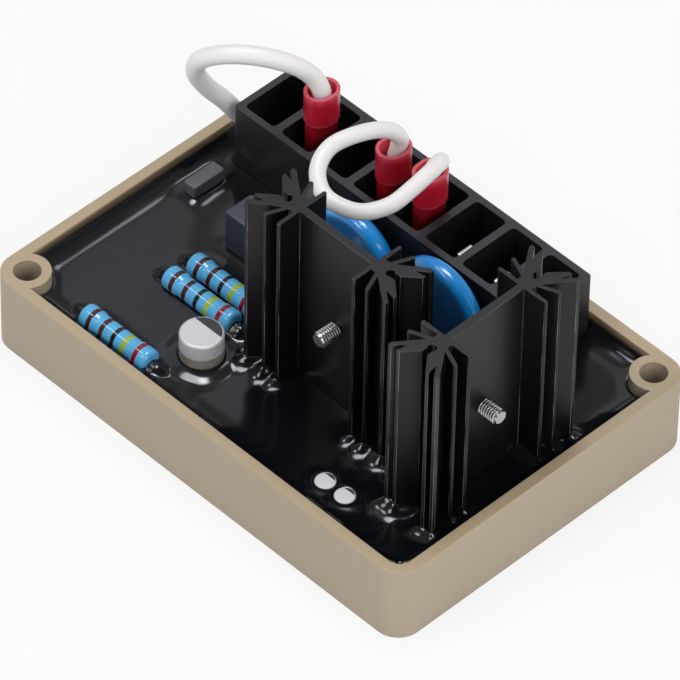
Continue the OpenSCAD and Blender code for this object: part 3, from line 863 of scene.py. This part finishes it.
class REGULATOR_OT_heat_sinks(bpy.types.Operator):
    """Make the two finned heat sinks"""

    bl_idname = "regulator.heat_sinks"
    bl_label = "Heat Sinks"

    def execute(self, context):
        finish = Finish("Black anodised", {"Specular IOR Level": 0.38})
        lines = finish.noise(900, 3, (1, 1, 0.02))
        clouds = finish.noise(40, 4)
        black = colours().anodised
        tint = finish.mix(clouds * 0.6 + lines * 0.4, shade(black, 0.7), shade(black, 1.35))
        finish.surface(tint, 0.26 + clouds * 0.1 + lines * 0.1, lines, 0.012)
        # A second material: the painted highlight for the fins' edges
        edge = self.edge_highlight()
        for node in numbered("heat_sink_"):
            bm = node_mesh(node)
            for face in soften(bm, sizes().fin_edge):
                # Rounded faces that face sideways take the painted highlight
                face.material_index = int(abs(face.normal.z) < 0.5)
            piece = finish_piece(bm, node, finish, weighted=True)
            piece.data.materials.append(edge.material)
        return {"FINISHED"}

    def edge_highlight(self):
        """Painted highlight: a lighter grey along the fins' edges, broken up by noise, stands in for light
        caught on the edges.
        """
        finish = Finish("Anodised edge painted highlight", {"Roughness": 0.3})
        highlight_share = finish.step(finish.noise(120, 4), 0.35, 0.65)
        finish.set("Base Color", finish.mix(highlight_share, colours().anodised, colours().edge_highlight))
        return finish


def cut_off(bm, place, outward):
    """Cuts away what lies beyond a plane and returns the faces that close the cut."""
    cut = bmesh.ops.bisect_plane(
        bm, geom=bm.verts[:] + bm.edges[:] + bm.faces[:], plane_co=place, plane_no=outward, clear_outer=True
    )
    rim = [g for g in cut["geom_cut"] if isinstance(g, bmesh.types.BMEdge)]
    return bmesh.ops.contextual_create(bm, geom=rim)["faces"]


def threaded_shank(reach, radius):
    """A threaded rod along Z from 0 to its reach, closed at both ends, with a chamfered tip."""
    pitch = sizes().thread_pitch
    root = radius - sizes().thread_depth
    chamfer, tip_share = 0.45 * MM, 0.86
    turns = math.ceil(reach / pitch) + 2
    tooth = [(root, 0.0), (root, 0.12), (radius, 0.46), (radius, 0.62)]
    bm = spun([(r, (k - 1.5 + t) * pitch) for k in range(turns) for r, t in tooth], 36, pitch)
    cut_off(bm, (0, 0, 0), (0, 0, -1))
    end = cut_off(bm, (0, 0, reach - chamfer), (0, 0, 1))
    tip = bmesh.ops.extrude_discrete_faces(bm, faces=end)["faces"][0].verts[:]
    bmesh.ops.translate(bm, verts=tip, vec=(0, 0, chamfer))
    for vert in tip:
        vert.co.xy *= tip_share
    bmesh.ops.remove_doubles(bm, verts=bm.verts, dist=MERGE / 4)
    bmesh.ops.recalc_face_normals(bm, faces=bm.faces)
    return bm


class REGULATOR_OT_screws(bpy.types.Operator):
    """Make the threaded screws that hold the power devices"""

    bl_idname = "regulator.screws"
    bl_label = "Heat Sink Screws"

    def execute(self, context):
        steel = metal("Plated steel", colours().steel, 0.24, grain=900)
        for node in numbered("heat_sink_screw_"):
            bm = self.screw(node, f"power_device_body_{node[-1]}")
            finish_piece(bm, node, steel)
        return {"FINISHED"}

    def screw(self, node, device):
        """The screw's head and, from the device that it holds outwards, a threaded shank."""
        shank_radius, overlap = 2 * MM, 0.02 * MM
        body_low, body_high = corners(device)
        low, high = corners(node)
        start = (low + high) / 2
        off = start - centre(device)
        if abs(off.y) > abs(off.x):
            outward = Vector((0, -1, 0))
            start.y = body_high.y
            reach = body_high.y - low.y
        else:
            outward = Vector((1, 0, 0))
            start.x = body_low.x
            reach = high.x - body_low.x
        bm = node_mesh(node)
        cut_off(bm, start + outward * overlap, outward)
        soften(bm, sizes().small_edge)
        shank = threaded_shank(reach, shank_radius)
        bmesh.ops.transform(shank, matrix=Matrix.Translation(start) @ turn_to(outward), verts=shank.verts)
        mesh = to_mesh(shank, "shank")
        bm.from_mesh(mesh)
        bpy.data.meshes.remove(mesh)
        return bm


class REGULATOR_OT_power_devices(bpy.types.Operator):
    """Make the power devices behind the heat sink plates"""

    bl_idname = "regulator.power_devices"
    bl_label = "Power Devices"

    def execute(self, context):
        epoxy = moulded("Black moulding compound", colours().epoxy, 0.6, grain=1300, depth=0.03)
        tin = metal("Tinned frame", colours().tin, 0.34, grain=700, stretch=(1, 1, 0.1))
        soften_nodes(numbered("power_device_body_"), epoxy, sizes().device_edge, 3)
        soften_nodes(numbered("power_device_frame_"), tin, sizes().small_edge)
        return {"FINISHED"}


class REGULATOR_OT_varistors(bpy.types.Operator):
    """Make the two blue varistor discs"""

    bl_idname = "regulator.varistors"
    bl_label = "Varistors"

    def execute(self, context):
        coat = self.coat()
        lead_pitch = 7.5 * MM
        for node in numbered("varistor_"):
            low, high = corners(node)
            radius, half = (high.x - low.x) / 2, (high.y - low.y) / 2
            rim = radius - half
            flat = [(0, half), (rim / 2, half)]
            profile = [*flat, *arc((rim, 0), half, 90, -90, 14), *((r, -h) for r, h in reversed(flat))]
            middle = Vector(((low.x + high.x) / 2, (low.y + high.y) / 2, high.z - radius))
            bm = turned(profile, 80, Matrix.Translation(middle) @ Matrix.Rotation(QUARTER, 4, "X"))
            for side in (-1, 1):
                foot = Vector((middle.x + side * lead_pitch / 2, middle.y, low.z))
                add_lead(bm, foot, foot + Vector((0, 0, radius * 0.4)))
            finish_piece(bm, node, coat)
        return {"FINISHED"}

    def coat(self):
        """Glossy dipped coating, with painted shade that makes the flat of the discs darker than the rim."""
        finish = Finish("Blue dipped coat", {"Coat Weight": 0.4, "Coat Roughness": 0.08})
        low, high = corners("varistor_1")
        half = (high.y - low.y) / 2
        off = abs(finish.axis("Y") - centre("varistor_1").y)
        mottle = finish.noise(45, 4)
        # Painted shade on the flat faces, away from the rounded rim
        tint = finish.mix(finish.step(off, half * 0.7, half), colours().varistor, colours().disc_face)
        tint = finish.tinted(tint, mottle, (0.85, 0.85, 0.85))
        return finish.surface(tint, 0.2 + mottle * 0.12, finish.noise(180, 2), 0.05)


class REGULATOR_OT_film_capacitors(bpy.types.Operator):
    """Make the two box capacitors"""

    bl_idname = "regulator.film_capacitors"
    bl_label = "Box Capacitors"

    def execute(self, context):
        small = moulded("Grey case", colours().small_box, 0.48)
        large = moulded("Slate case", colours().large_box, 0.42)
        soften_nodes(["film_capacitor_small"], small, sizes().case_edge * 0.5, 3)
        soften_nodes(["film_capacitor_large"], large, sizes().case_edge, 3)
        return {"FINISHED"}


class REGULATOR_OT_resistors(bpy.types.Operator):
    """Make the three banded resistors"""

    bl_idname = "regulator.resistors"
    bl_label = "Resistors"

    def execute(self, context):
        for node in numbered("resistor_"):
            self.resistor(node)
        return {"FINISHED"}

    def resistor(self, node):
        """A body with thicker ends, and a bent lead at each end."""
        low, high = corners(node)
        middle = (low + high) / 2
        radius = (high.y - low.y) / 2
        axis = Vector((middle.x, middle.y, high.z - radius))
        half = (high.x - low.x) / 2 - LEAD_REACH
        waist = radius - 0.3 * MM
        edge, cap, ease = 1.1 * MM, 4 * MM, 1.4 * MM
        profile = [(0, -half), *arc((radius - edge, edge - half), edge, -90, 0, 6), (radius, cap - half)]
        for k in range(1, 6):
            fall = (1 - math.cos(math.pi * k / 5)) / 2
            profile.append((radius + (waist - radius) * fall, cap - half + ease * k / 5))
        profile += [(r, -h) for r, h in reversed(profile)]
        bm = turned(profile, 56, Matrix.Translation(axis) @ Matrix.Rotation(QUARTER, 4, "Y"))
        for side in (-1, 1):
            inside = axis + Vector((side * (half - MM), 0, 0))
            elbow = axis + Vector((side * (half + LEAD_REACH - LEAD_RADIUS), 0, 0))
            add_lead(bm, inside, elbow)
            add_lead(bm, elbow, Vector((elbow.x, elbow.y, low.z)))
            place = Matrix.Translation(elbow)
            bmesh.ops.create_uvsphere(bm, u_segments=10, v_segments=8, radius=LEAD_RADIUS, matrix=place)
        finish_piece(bm, node, self.lacquer(node, middle.x, half))

    def lacquer(self, node, x, half):
        """Lacquer with five slightly uneven colour bands along X, and tinned leads at both ends."""
        constants = {"Coat Weight": 0.8, "Coat Roughness": 0.06, "Specular IOR Level": 0.1}
        finish = Finish("Lacquer " + node, constants)
        wobble = finish.noise(700, 2)
        reach = half + LEAD_REACH
        along = (finish.axis("X") - x) / (2 * reach) + 0.5 + (wobble - 0.5) * 0.01
        blue, tin = colours().resistor, colours().tin
        brown, black = paint(72, 26, 24), paint(20, 19, 22)
        lime, red = paint(168, 190, 38), paint(146, 16, 30)
        bands = [(0.155, brown), (0.335, brown), (0.51, black), (0.665, lime), (0.85, red)]
        half_band = 0.028

        def on_ramp(share):
            return 0.5 + (share - 0.5) * half / reach

        past = 0.1 * MM / half
        stops = [(0, tin), (on_ramp(-past), blue)]
        for place, band in bands:
            stops += [(on_ramp(place - half_band), band), (on_ramp(place + half_band), blue)]
        stops += [(on_ramp(1 + past), tin)]
        ramp = finish.add("ShaderNodeValToRGB", {0: along}, stops=stops)
        ramp.output.node.color_ramp.interpolation = "CONSTANT"
        mottle = finish.noise(260, 3)
        tint = finish.tinted(ramp, mottle, (0.8, 0.82, 0.84))
        return finish.surface(tint, 0.28 + mottle * 0.1, finish.noise(380, 3), 0.045)


class REGULATOR_OT_cans(bpy.types.Operator):
    """Make the aluminium cans"""

    bl_idname = "regulator.cans"
    bl_label = "Aluminium Cans"

    def execute(self, context):
        for node in ("electrolytic_large", *numbered("electrolytic_small_")):
            self.can(node)
        return {"FINISHED"}

    def can(self, node):
        """A can with a rounded top and a rolled groove above its foot."""
        low, high = corners(node)
        middle = (low + high) / 2
        radius, tall = (high.x - low.x) / 2, high.z - low.z
        edge = min(0.6 * MM, radius * 0.16)
        groove, up = 0.5 * MM, 2.6 * MM
        profile = [
            (0, 0), (radius, 0), (radius, up - 2 * groove),
            *arc((radius, up - groove / 2), groove, -90, -270, 8),
            *arc((radius - edge, tall - edge), edge, 0, 90, 7), (radius - edge * 1.5, tall), (0, tall),
        ]
        bm = turned(profile, 64, Matrix.Translation((middle.x, middle.y, low.z)))
        finish_piece(bm, node, self.aluminium(node, middle, radius))

    def aluminium(self, node, middle, radius):
        """Satin aluminium with a dark segment on the top, and a resin stain round the large can's foot."""
        finish = Finish("Can " + node)
        large = node == "electrolytic_large"
        lines = finish.noise(900, 3, (0.15, 0.15, 1))
        clouds = finish.noise(70, 3)
        x, y, z = (finish.axis(name) for name in "XYZ")
        across = x.maths("POWER", x - middle.x, 2) + y.maths("POWER", y - middle.y, 2)
        segment = y > middle.y + radius * (0.38 if large else 0.58)
        ink = (z > top(node) - 0.25 * MM) * segment * (across < (radius * 0.9) ** 2)
        tint = shade(colours().can, 1.0 if large else 1.22)
        bare = finish.mix(clouds, shade(tint, 0.86), tint)
        if large:
            wet = top("potting") + 3.4 * MM
            stain = 1 - finish.step(z + (clouds - 0.5) * 0.6 * MM, wet - 0.25 * MM, wet + 0.15 * MM)
            crust = finish.mix(finish.noise(420, 3), paint(112, 104, 96), paint(168, 161, 153))
            bare = finish.mix(stain, bare, crust)
        metallic = 0.2 if large else 0.0
        finish.set("Metallic", metallic - ink * metallic)
        tint = finish.mix(ink, bare, colours().ink)
        return finish.surface(tint, 0.4 + lines * 0.1 + ink * 0.1, lines, 0.006)


class REGULATOR_OT_board(bpy.types.Operator):
    """Dress the circuit board and the chip under the resin"""

    bl_idname = "regulator.board"
    bl_label = "Board"

    def execute(self, context):
        dress(["circuit_board"], moulded("Green board", colours().board, 0.4, grain=600))
        dress(["control_chip"], moulded("Chip compound", colours().epoxy, 0.55, grain=1200))
        return {"FINISHED"}


class REGULATOR_OT_trimmers(bpy.types.Operator):
    """Make the two trimmers that turn in the base"""

    bl_idname = "regulator.trimmers"
    bl_label = "Trimmers"

    def execute(self, context):
        cream = moulded("Cream trimmer face", colours().trimmer, 0.45, grain=1200, variation=0.05)
        for node, body in zip(numbered("trimmer_rotor_"), ("voltage_trimmer", "stability_trimmer")):
            soften_nodes([node], cream, sizes().small_edge, body=body)
        dress(numbered("trimmer_housing_"), moulded("Trimmer housing", colours().housing, 0.5))
        return {"FINISHED"}


class REGULATOR_OT_stage(bpy.types.Operator):
    """Set up the camera, the lamps, the world and the floor"""

    bl_idname = "regulator.stage"
    bl_label = "Stage"

    def execute(self, context):
        context.scene.view_settings.view_transform = "Standard"
        self.camera(context.scene)
        self.world(context.scene)
        self.floor()
        self.lamp("Key", (-0.35, -0.75, 0.95), 0.35, 3.0)
        self.lamp("Fill", (0.95, -0.25, 0.6), 0.6, 4.5)
        self.lamp("Top", (-0.18, 0.16, 1.2), 0.28, 2.0, shape="DISK")
        self.lamp("Top card", (-0.24, 0.08, 1.22), 0.58, 8.5, card=True, shape="DISK")
        self.lamp("Back card", (-0.79, 0.43, 0.83), 0.55, 0.5, card=True)
        self.lamp("Strip card", (-0.36, 0.6, 0.97), 0.14, 0.35, card=True)
        self.lamp("Glint card", (-0.61, -0.29, 0.98), 0.2, 1.1, card=True)
        return {"FINISHED"}

    def camera(self, scene):
        """A long lens from the front right and above, fitted to the picture."""
        azimuth, elevation, roll = (math.radians(a) for a in (44.88, 45.67, 1.17))
        distance = 1.8307
        target = Vector((0, 0, 0.012))
        focal_pixels = 7948.0
        principal = (338.2, 350.0)
        data = bpy.data.cameras.new("Camera")
        data.sensor_width = 36.0
        data.lens = focal_pixels / IMAGE_PIXELS * data.sensor_width
        data.shift_x = (IMAGE_PIXELS / 2 - principal[0]) / IMAGE_PIXELS
        data.shift_y = (principal[1] - IMAGE_PIXELS / 2) / IMAGE_PIXELS
        scene.camera = link(data)
        turns = ((azimuth, "Z"), (QUARTER - elevation, "X"), (roll, "Z"))
        place = Matrix.Translation(target)
        for angle, axis in turns:
            place = place @ Matrix.Rotation(angle, 4, axis)
        scene.camera.matrix_world = place @ Matrix.Translation((0, 0, distance))

    def world(self, scene):
        """A white room with a darker ceiling, which lights the regulator evenly."""
        world = bpy.data.worlds.new("Studio")
        world.use_nodes = True
        scene.world = world
        nodes = Nodes(world.node_tree)
        seen = nodes.ray("Camera")
        for kind in ("Glossy", "Transmission"):
            seen = seen.maths("MAXIMUM", seen, nodes.ray(kind))
        direction = nodes.add("ShaderNodeTexCoord", output="Generated")
        x, y, rise = (nodes.add("ShaderNodeSeparateXYZ", {0: direction}, output=name) for name in "XYZ")
        ceiling = nodes.remap(x - y, -0.2, 0.5, first=0.3, last=0.05)
        wall = nodes.remap(rise, 0.06, 0.3, first=1, last=ceiling)
        background = world.node_tree.nodes["Background"]
        background.inputs["Color"].default_value = (1, 1, 1, 1)
        nodes.feed(background.inputs["Strength"], seen * wall + (1 - seen) * 0.55)

    def floor(self):
        """White paper that fades to pure white away from the regulator."""
        bm = bmesh.new()
        level = Matrix.Translation((0, 0, CAD_BOX[0].z))
        bmesh.ops.create_grid(bm, x_segments=1, y_segments=1, size=3.0, matrix=level)
        floor = link(to_mesh(bm, "Floor"))
        paper = Finish("White paper", {"Base Color": (0.86, 0.86, 0.86), "Roughness": 0.9})
        glow = paper.add("ShaderNodeEmission", {"Color": (1, 1, 1), "Strength": 1.0})
        away = paper.add("ShaderNodeVectorMath", {0: paper.place}, output="Value", operation="LENGTH")
        far = paper.step(away, 0.14, 0.5)
        shader = Socket(paper, paper.shader.outputs[0])
        share = paper.ray("Camera") * (0.8 + far * 0.2)
        mixed = paper.add("ShaderNodeMixShader", {0: share, 1: shader, 2: glow})
        paper.tree.links.new(mixed.output, paper.tree.nodes["Material Output"].inputs["Surface"])
        floor.data.materials.append(paper.material)

    def lamp(self, name, place, size, power, card=False, shape="SQUARE"):
        """A flat lamp that faces the regulator; a card is bluish and shows in glossy surfaces alone."""
        data = bpy.data.lights.new(name, "AREA")
        data.shape = shape
        data.size = size
        data.energy = power
        if card:
            data.color = (0.95, 0.98, 1.08)
        lamp = link(data)
        lamp.visible_diffuse = not card
        place = Vector(place)
        lamp.matrix_world = Matrix.Translation(place) @ turn_to(place)


OPERATORS = (
    REGULATOR_OT_stage,
    REGULATOR_OT_jumper_wires,
    REGULATOR_OT_tray,
    REGULATOR_OT_resin,
    REGULATOR_OT_terminal_block,
    REGULATOR_OT_connectors,
    REGULATOR_OT_heat_sinks,
    REGULATOR_OT_screws,
    REGULATOR_OT_power_devices,
    REGULATOR_OT_varistors,
    REGULATOR_OT_film_capacitors,
    REGULATOR_OT_resistors,
    REGULATOR_OT_cans,
    REGULATOR_OT_board,
    REGULATOR_OT_trimmers,
)


class REGULATOR_PT_panel(bpy.types.Panel):
    """Lists the regulator's pieces"""

    bl_idname = "REGULATOR_PT_panel"
    bl_label = "Voltage Regulator"
    bl_space_type = "VIEW_3D"
    bl_region_type = "UI"
    bl_category = "Regulator"

    def draw(self, context):
        for operator in OPERATORS:
            self.layout.operator(operator.bl_idname)
        for group in (context.scene.regulator_sizes, context.scene.regulator_colours):
            box = self.layout.box()
            for name in group.__annotations__:
                box.prop(group, name)


CLASSES = (RegulatorColours, RegulatorSizes, *OPERATORS, REGULATOR_PT_panel)


def register():
    for cls in CLASSES:
        bpy.utils.register_class(cls)
    bpy.types.Scene.regulator_colours = PointerProperty(type=RegulatorColours)
    bpy.types.Scene.regulator_sizes = PointerProperty(type=RegulatorSizes)


def unregister():
    del bpy.types.Scene.regulator_sizes
    del bpy.types.Scene.regulator_colours
    for cls in reversed(CLASSES):
        bpy.utils.unregister_class(cls)


def main():
    register()
    for operator in OPERATORS:
        group, name = operator.bl_idname.split(".")
        getattr(getattr(bpy.ops, group), name)()


if __name__ == "__main__":
    main()
